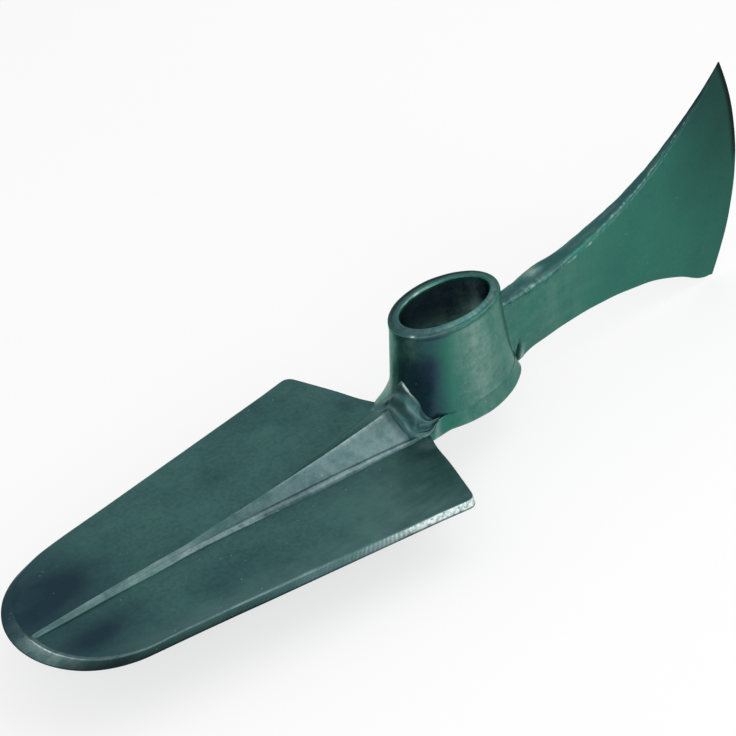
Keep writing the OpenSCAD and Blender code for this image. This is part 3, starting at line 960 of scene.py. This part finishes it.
def spade_slice(out, top):
    """Points of one slice across the blade, and the half width of its flat top."""
    hub_x = min(top[0], -TANG_X)
    plan = out + (top - out) * edge_shape[:, :1]
    limit = plan[-1, 1]
    middle_x = hub_x + (plan[-1, 0] - hub_x) * np.abs(across)
    middle = np.stack([middle_x, limit * across, 0 * across + PLATE_T], -1)
    right = np.column_stack([plan, edge_level])
    left = right * (1, -1, 1)
    left[:, 1] += np.interp(-left[:, 0], slim_places, slim_widths) * np.clip(right[:, 1] / tip_ease, 0, 1)
    row = np.vstack([left, middle[1:-1], right[::-1], [(hub_x, 0, 0)]])
    spread = np.clip(row[:, 1] / max(limit, 1e-6), -1, 1)
    thick = blade_thickness(out[0]) / PLATE_T
    lift = np.where(row[:, 0] < -TANG_X, plate_top(row[:, 0]) - PLATE_T, 0)
    row[:, 2] = row[:, 2] * thick + lift - blade_hollow(row[:, 0], spread) * upper
    return row, limit


def spade_paint(row, limit, slice_x):
    """Wear with painted light, stains with painted shade, and painted shade of one slice."""
    along, aside = -row[:, 0], row[:, 1]
    near, tip = aside < 0, ease(along, 195, 225)
    swing = 2.5 * noise.noise(Vector((slice_x * 0.11, 0.7, 0)))
    grind = 0.5 * math.cos(2 * math.pi * slice_x / GRIND_PITCH + swing)
    grind = 0.5 + grind * ease(-slice_x, 70, 105)

    on_bevel = bell(bevel, 0.5, 0.45) * (upper > 0.05) * (bevel < 0.98)
    # A painted highlight on the near edge by the shoulder corner, fading towards the tip; the grind ticks
    # break it up.
    corner_highlight = 3.2 * bell(along, SHOULDER_X, 48) - 0.25 * ease(along, 125, 150)
    along_edge = np.where(near, (0.37 + corner_highlight) * (0.6 + 0.7 * grind), 0.15)
    # A band of painted light on the bevel of the tip, on the near side of the middle.
    tip_lit = tip * (bevel > 0.05) * bell(aside, -12, 18)
    tip_highlight = tip_lit * (0.45 + 0.65 * bevel) * (bevel < 1)
    arris = (bevel >= 0.9) & (np.abs(aside) > 0.985 * limit) & near
    # A painted highlight along the arris of the near edge, weaker at the tip.
    arris_highlight = 0.65 * arris * ease(along, 90, 140) * (1 - 0.3 * tip)
    inside = 0.16 * ease(-aside / max(limit, 1), 0.7, 0.95) * (bevel >= 1) * (1 - tip)
    # A painted reflection on the near part of the pan.
    mirror = 0.2 * bell(along, 70, 26) * bell(aside, -38, 20)
    by_neck = 0.5 * bell(along, 36, 6) * bell(aside, -22, 5)
    wear_and_light = on_bevel * along_edge * (1 - tip) + tip_highlight + arris_highlight + inside + mirror + by_neck

    patches = sum(deep * bell(row[:, 0], x, long) * bell(aside, y, wide) for x, y, long, wide, deep in stains)
    # Painted shade on the steep land of the edge, and on the lower bevel at the tip.
    land_shade = (bevel < 0.05) + 0.8 * (bevel < 0.3) * tip
    to_tip = np.where(near, 0.35 * ease(along, 170, 225), 0.5 * ease(along, 155, 220))
    far_tip = 0.5 * tip * (bevel < 1) * ease(aside, -8, 8)
    stain_and_shade = np.clip(patches + land_shade + to_tip + far_tip, 0, 1) * (1 - 0.95 * tip_lit * (bevel < 1))

    # Painted shade under the near edge, from the middle of the blade on, broken by the grind ticks.
    under_edge_shade = 0.7 * ease(along, 125, 165) + 0.25 * ease(along, 190, 215)
    under_edge_shade = under_edge_shade * (1 - 0.3 * grind * (1 - tip))
    under = np.where(bevel < 0.85, 1 - bevel * (0.85 - 0.65 * ease(along, 180, 215)), 0)
    shade = under_edge_shade * (aside < -20) * under * (1 - tip_lit)
    return wear_and_light, stain_and_shade, shade


slices = []
for out, top in zip(outer, inner):
    row, limit = spade_slice(out, top)
    slices.append((row, *spade_paint(row, limit, out[0])))
rows, worn_and_lit, dark, dim = zip(*slices)
spade = skin_rows("spade", rows, {"wear_and_light": worn_and_lit, "stain_and_shade": dark, "shade": dim}, sharp_angle=60)
use_for(spade, "spade_blade", enamel_greyed_by_reflection)

# %% [markdown]
# ## Middle rib
# A roof-shaped tongue was drawn out along the middle of the spade to stiffen it. A bead runs along the
# foot of its near side, and where the tongue ends this bead goes on as one low ridge that reaches to the
# tip. The far side is hollow. Width and height follow one rule along the blade, so this piece comes from
# Geometry Nodes too: a flat strip carries how far along and how far across each point lies.

# %% Middle rib: strip, wear and painted light
TONGUE_X, RIDGE_GAP = 172.0, 4.2
facet_share, full_shift_x, end_sink, foot_sink = 0.72, 72.0, 0.9, 1.2
rib_sizes = {
    "Start Place": 30.0 * MM,
    "Root Place": RIB_X * MM,
    "Tongue End": TONGUE_X * MM,
    "Ridge End": (BLADE_L - TIP_BEVEL + RIDGE_GAP) * MM,
    "Root Width": RIB_W * MM,
    "Root Height": RIB_H * MM,
    "Ridge Width": RIDGE_W * MM,
    "Ridge Height": RIDGE_H * MM,
    "Bead Width": FOOT_W * MM,
    "Bead Spread": 3.4 * MM,
    "Near Shift": 2.7 * MM,
    "Bead Crown": 0.45,
    "Waviness": 0.25 * MM,
}
stations = np.linspace(0, 1, 260)
half_across = np.concatenate([np.linspace(0, facet_share, 22)[:-1], np.linspace(facet_share, 1, 16)])
top_across = np.concatenate([-half_across[:0:-1], half_across])
across_all = np.concatenate([top_across, [1, 0, -1]])
sunk = np.concatenate([np.zeros(len(top_across)), np.ones(3)])
loose_l, loose_w, loose_h = 190, 16, 20
strip = np.array([
    [(-RIB_X - loose_l * a, loose_w * c, loose_h * (1 - s)) for c, s in zip(across_all, sunk)]
    for a in stations
])
off_middle = np.abs(across_all)
column = stations[:, None]
near_side = across_all < 0.02
bead_wear = 0.8 * np.exp(-((off_middle - 0.87) / 0.11) ** 4) * near_side
facet_wear = 0.54 * (off_middle < facet_share - 0.03) * near_side + 0.35 * bell(off_middle, 0, 0.06)
by_root = 0.5 + 0.8 * ease(column, 0.045, 0.065) - 0.55 * ease(column, 0.16, 0.38)
ridge_along = 0.9 * ease(column, 0.52, 0.64) - 0.25 * ease(column, 0.82, 0.95)
ridge_wear = (0.9 + 0.25 * across_all) * (off_middle < 0.95) * ridge_along
bead_along = ease(column, 0.33, 0.48) - ease(column, 0.6, 0.72)
# Painted light along the near bead where the tongue runs out.
bead_lit = 0.9 * (off_middle > facet_share) * near_side * bead_along
side_wear = (bead_wear + facet_wear) * by_root
rib_wear_and_light = np.maximum(side_wear, np.maximum(ridge_wear, bead_lit)) * (1 - sunk)

# Painted shade in the groove at the foot of the near facet and at the root by the web; the near bead and
# facet are darker.
groove_shade = bell(off_middle, facet_share + 0.01, 0.03) * near_side
bead_dark = 0.6 * (off_middle > facet_share) * near_side
facet_dark = 0.25 * (off_middle < facet_share) * near_side
root_shade = 0.5 * (1 - ease(column, 0.04, 0.08)) * (off_middle < facet_share) * near_side
before_ridge = 1 - ease(column, 0.6, 0.7)
rib_dark_and_shade = (groove_shade + bead_dark + facet_dark) * before_ridge + root_shade
rib = skin_rows(
    "rib",
    strip,
    {
        "along": np.repeat(column, len(across_all), axis=1),
        "across": across_all,
        "sunk": sunk,
        "wear_and_light": rib_wear_and_light,
        "stain_and_shade": rib_dark_and_shade,
    },
)

# %% [markdown]
# ## Middle rib: the tree
# The tongue gets narrower and lower up to its end, and the ridge carries on from there. Both are shares
# along the blade, so a width or a height is a mix of two sizes. The near bead spreads a little, the rib is
# set over to the near side, and both ends sink into the blade.

# %% Middle rib: the tree
tree, group, size = start_tree("roof_rib", rib_sizes)
along, side, below = (named_field(tree, key) for key in ("along", "across", "sunk"))
place = mix(size["Start Place"], size["Ridge End"], along)
tongue = place.ramp(size["Root Place"], size["Tongue End"])
ridge = place.ramp(size["Tongue End"], size["Ridge End"])
half = mix(size["Ridge Width"], size["Root Width"], (1 - tongue) ** 1.9) * 0.5 * mix(0.97, 0.46, ridge)
bead_h = size["Ridge Height"] * mix(1, 0.3, ridge) * mix(0.6, 1, along.ramp(0, 0.22))
roof = mix(size["Root Height"], size["Ridge Height"], tongue ** 0.8).at_least(bead_h)
crest = roof * (1 - ridge) + bead_h * ridge
facet_half = half - size["Bead Width"] * mix(1, 0.5, ridge)
off = side.size()
on_facet = off.ramp(0, facet_share)
on_bead = off.ramp(facet_share, 1)
crown = size["Bead Crown"] * (1 - tongue.ramp(0.8, 1).at_least(side.above(0)))
groove = crown / (1 - crown)
groove = 1 - groove * groove
far = side.above(0)
spread = size["Bead Spread"] * (1 - tongue.ramp(0.42, 0.9)) * (1 - far) * mix(0.35, 1, along.ramp(0.05, 0.3))
facet_z = mix(crest, bead_h * groove, on_facet)
off_crown = (on_bead - crown) / (1 - crown)
bead_z = bead_h * (1 - off_crown * off_crown)
over = off.above(facet_share)
near_z = mix(facet_z, bead_z, over)
far_z = crest * (1 - off) ** 1.8
far_z = mix(far_z, near_z, tongue.ramp(0.75, 1))
ends = along.ramp(0, 0.03) * (1 - along.ramp(0.955, 0.995))
lift = mix(mix(near_z, far_z, far) * ends - (1 - ends) * end_sink * MM, -foot_sink * MM, below)
y_off = mix(facet_half * on_facet, facet_half + (half + spread - facet_half) * on_bead, over)
moved = (place.ramp(size["Root Place"], full_shift_x * MM) + tongue) * 0.5
shift = size["Near Shift"] * moved * mix(1, -0.35, ridge ** 1.5)
shift = shift * mix(mix(0.65, 1, off), 1, tongue.ramp(0.8, 1))
ground = (place - TANG_X * MM) * (BLADE_RISE / (BLADE_L - TANG_X)) + PLATE_T * MM
thin = place.smooth(thin_from * MM, BLADE_L * MM) * (tip_thinning * MM)
dish = place.smooth(dish_from * MM, dish_full * MM) * (blade_dish * MM)
on_blade = (place * -1, y_off * side.math("SIGN") - shift, ground - thin - dish + lift)
end_tree(tree, group, on_blade, size["Waviness"], enamel_greyed_by_reflection)
run_tree(rib, tree, rib_sizes)
use_for(rib, "mid_rib", enamel_greyed_by_reflection)

# %% [markdown]
# ## Axe blade
# The axe starts as a thick shank at the socket and fans out, getting thinner all the way to a bowed
# cutting edge. Two curves give its top and its underside, and each slice between them is a tall, narrow
# section with a rounded, filed corner on its near upper side. The first slice is pushed on to the wall.

# %% Axe blade: curves
AXE_REACH, EDGE_L, EDGE_DROP, EDGE_BOW, EDGE_LEAN = 194.5, 119.0, 24.0, 14.5, 6.6
SHANK_TOP, SHANK_BOTTOM, AXE_T, EDGE_T = 37.0, 5.0, 11.0, 0.8
corner_rise = 1.3
thickness_shares = np.array(
    [(0, 0.82), (0.15, 1), (0.4, 0.74), (0.55, 0.53), (0.7, 0.37), (0.85, 0.2), (1, 0)]
)
root_fillet, fillet_reach, fillet_rise, fillet_x, root_sink = 4.9, 3.5, 18.0, 37.0, 1.2


def cubic_curve(start, end, handles, u):
    """A cubic curve whose handles are shares of the way from start to end."""
    start, end = np.array(start), np.array(end)
    points = [start, *(start + (end - start) * np.array(h) for h in handles), end]
    weights = ((1 - u) ** 3, 3 * u * (1 - u) ** 2, 3 * u ** 2 * (1 - u), u ** 3)
    return sum(w[:, None] * p for w, p in zip(weights, points))


def axe_section(top, bottom, half, cut):
    """Side, height and mark of the points round one slice: 1 to 3 on the filed corner, 4 on top."""
    cut = min(cut, half * 0.8)
    low = min(1.2, half * 0.6)
    heights = np.linspace(bottom + low, top - cut - 0.4, 40)
    near = [(-half, z, 0) for z in heights]
    corner = bend((-half, top - cut), (-half, top), (-half + cut, top), 7)
    slope = [(*p, mark) for p, mark in zip(corner, (1, 1, 3, 3, 3, 2, 2))]
    over = [(corner[-1, 0] + (half - corner[-1, 0]) * k, top, 4) for k in (0.12, 0.35, 0.6, 0.85)]
    far = [(half, z, 0) for z in [top - 0.3 * cut, *heights[::-1]]]
    under = [(y * half, bottom + 0.3 * low * abs(y), 0) for y in (0.85, 0.4, 0, -0.4, -0.85)]
    return np.array(near + slope + over + far + under)


def dashes(place, pitch, row):
    """A fixed broken pattern along an edge, 0 to 1."""
    return min(1, max(0, 0.35 + 1.5 * noise.noise(Vector((place * pitch, row * 2.3, 0.6)))))


shares = np.linspace(0, 1, 220) ** 1.35
edge_h = math.sqrt(EDGE_L ** 2 - EDGE_LEAN ** 2)
edge_head = (AXE_REACH - EDGE_BOW + EDGE_LEAN / 2, edge_h - EDGE_DROP + corner_rise)
edge_foot = (AXE_REACH - EDGE_BOW - EDGE_LEAN / 2, -EDGE_DROP)
top_line = cubic_curve((RIM_L / 2, SHANK_TOP), edge_head, ((0.42, 0), (0.77, 0.4)), shares)
bottom_line = cubic_curve((RIM_L / 2, SHANK_BOTTOM), edge_foot, ((0.43, -0.08), (0.64, 0.05)), shares)
top_line[:, 1] -= 1.2 * bell(shares, 0.55, 0.22)
bottom_line[:, 1] += 0.8 * bell(shares, 0.70, 0.12) - 1.6 * bell(shares, 0.93, 0.06)
bottom_line[:, 1] += 0.9 * ease(shares, 0.96, 1) - bell(bottom_line[:, 0], 50, 15)
half_t = (EDGE_T + (AXE_T - EDGE_T) * np.interp(shares, *thickness_shares.T)) / 2
kernel = np.hanning(21) / np.hanning(21).sum()
half_t = np.convolve(np.pad(half_t, 10, mode="edge"), kernel, "valid")
half_t = half_t + (EDGE_T / 2 - half_t) * ease(shares, 0.94, 1)
print("axe of", len(shares), "slices")

# %% [markdown]
# ## Axe blade: slices, wear and painted shade
# At the root the shank runs into the socket with a fillet, a small cleft and a lobe beside it. The filed
# corner is rubbed in broken lines and the top is dark. Painted shade fills the cleft and the crease along
# the wall, darkens the upper end of the blade, which turns away from the light, and draws a thin line on
# the cutting edge. Places along the top are given in millimetres from the axis of the socket.

# %% Axe blade: slices, wear and painted shade
cleft_start, cleft_z, cleft_lean, lobe_gap, bump_h, bump_x = 35.5, 4.0, 0.5, 2.8, 1.2, 60.0
cut_places, cut_widths = (29, 60, 80, 150, 175), (1.5, 1.5, 1.6, 1.6, 0.8)
lower_places, lower_marks = (29, 66, 70, 100, 112, 160), (0.3, 0.3, 1.2, 1.2, 0.6, 0.2)
upper_places, upper_marks = (29, 66, 90, 105, 158, 168, 183), (0.5, 0.3, 0.5, 1.2, 1.2, 0.3, 0.1)


def axe_slice(u, top, bottom, half):
    """Points of one slice of the axe, and the facts that its paint goes by."""
    at = top[0]
    cut = np.interp(at, cut_places, cut_widths) * (0.75 + 0.5 * dashes(at, 0.35, 5))
    y, z, mark = axe_section(top[1], bottom[1], half, cut).T
    v = (z - bottom[1]) / (top[1] - bottom[1])
    side = y / half
    x = bottom[0] + (at - bottom[0]) * v + EDGE_BOW * u ** 3 * 4 * v * (1 - v)
    half_w = RIM_W / 2 + FLARE_SIDE * wall_drop(z, SPADE_POWER)
    wall_x = (RIM_L / 2 + FLARE_AXE * wall_drop(z, AXE_POWER)) * np.sqrt(1 - (y / half_w) ** 2)
    x = x + (wall_x - root_sink - RIM_L / 2) * (1 - u) ** 8
    near = side < -0.9
    z = z + bump_h * bell(at, bump_x, 9) * ease(side, -0.2, 0.6) * (v > 0.9)
    cleft_x = cleft_start + (z - cleft_z) * cleft_lean
    cleft = near * bell(x, cleft_x, 1.0) * ease(z, 1, 4) * (1 - ease(z, 9, 15))
    lobe = near * bell(x, cleft_x + lobe_gap, 1.6) * (1 - ease(z, 4, 14))
    y = y * (1 - 0.5 * cleft + 0.15 * lobe)
    fillet = 1 - np.exp(-fillet_rise / root_fillet * np.exp(-(x - fillet_x) / fillet_reach))
    z = z - root_fillet * fillet * (1 - v) ** 6
    facts = (u, at, top[1] - cut, mark, side, v, x - wall_x, z, cleft, lobe)
    return np.stack([x, y, z], -1), facts


def axe_paint(u, at, corner_z, mark, side, v, off_wall, z, cleft, lobe):
    """Wear, dark paint with painted shade, and painted shade of one slice."""
    on_top = mark == 4
    near = side < -0.9
    lower_rub = np.interp(at, lower_places, lower_marks) * (0.15 + 0.85 * dashes(at, 0.8, 1))
    upper_rub = np.interp(at, upper_places, upper_marks) * (0.15 + 0.85 * dashes(at, 0.8, 2))
    lines = np.where(mark == 1, lower_rub, 0) + np.where(mark == 2, upper_rub, 0)
    by_root = 1 - ease(at, 66, 78)
    on_slope = np.isin(mark, (2, 3)) + 0.7 * on_top * (side < -0.3)
    scraped = on_slope * (0.3 * by_root + 0.65 * bell(at, 50, 6)) * (0.5 + 0.5 * dashes(at, 0.5, 3))
    patch = 0.95 * on_top * (side > 0.2) * bell(at, 56, 4.5)
    streaks = np.array([max(0, noise.noise(Vector((at * 0.06, k * 5, 2.2)))) for k in side]) * on_top
    root = 0.32 * (1 - ease(u, 0.1, 0.5)) * (mark == 0)
    low_seam = 0.5 * bell(off_wall, 0.5, 0.6) * (1 - ease(z, 14, 24)) * near
    wear_and_light = np.clip(lines + scraped + patch + root + low_seam + 0.9 * lobe + 0.6 * streaks, 0, 1.5)

    nicks = 0.6 * by_root * near * bell(z, corner_z - 0.8, 0.7) * dashes(at, 0.7, 6)
    chips = by_root * np.isin(mark, (1, 2, 3)) * (0.75 - 0.6 * dashes(at, 0.9, 7))
    slope_dark = 0.3 * (mark == 3) * (1 - by_root)
    by_wall = 1 - ease(off_wall, 0.2, 1.0)
    # Painted shade in the crease along the wall and in the cleft.
    crease_shade = 0.8 * by_wall * (0.15 + 0.85 * ease(z, 15, 25)) + 0.9 * cleft
    by_top = 0.35 * ease(u, 0.6, 1) * ease(v, 0.8, 1)
    stain_and_shade = np.clip(nicks + chips + 0.6 * on_top + slope_dark + crease_shade + by_top, 0, 1)

    # Painted shade on the upper end of the blade and a thin dark line on its cutting edge.
    upper_end = 0.3 * ease(u, 0.45, 0.95) * ease(v, 0.25, 0.8)
    upper_end = upper_end + 0.35 * ease(u, 0.6, 0.97) * ease(v, -0.2, 0.4)
    edge_line = 0.5 * ease(u, 0.975, 0.995) * ease(v, 0.45, 0.6)
    shade = np.clip(upper_end + edge_line, 0, 1)
    return wear_and_light, stain_and_shade, shade


slices = []
for place in zip(shares, top_line, bottom_line, half_t):
    row, facts = axe_slice(*place)
    slices.append((row, *axe_paint(*facts)))
rows, worn_and_lit, dark, dim = zip(*slices)
axe = skin_rows("axe", forged(rows, 0.2, 0.06, 5), {"wear_and_light": worn_and_lit, "stain_and_shade": dark, "shade": dim}, sharp_angle=50)
use_for(axe, "axe_blade", green_enamel)
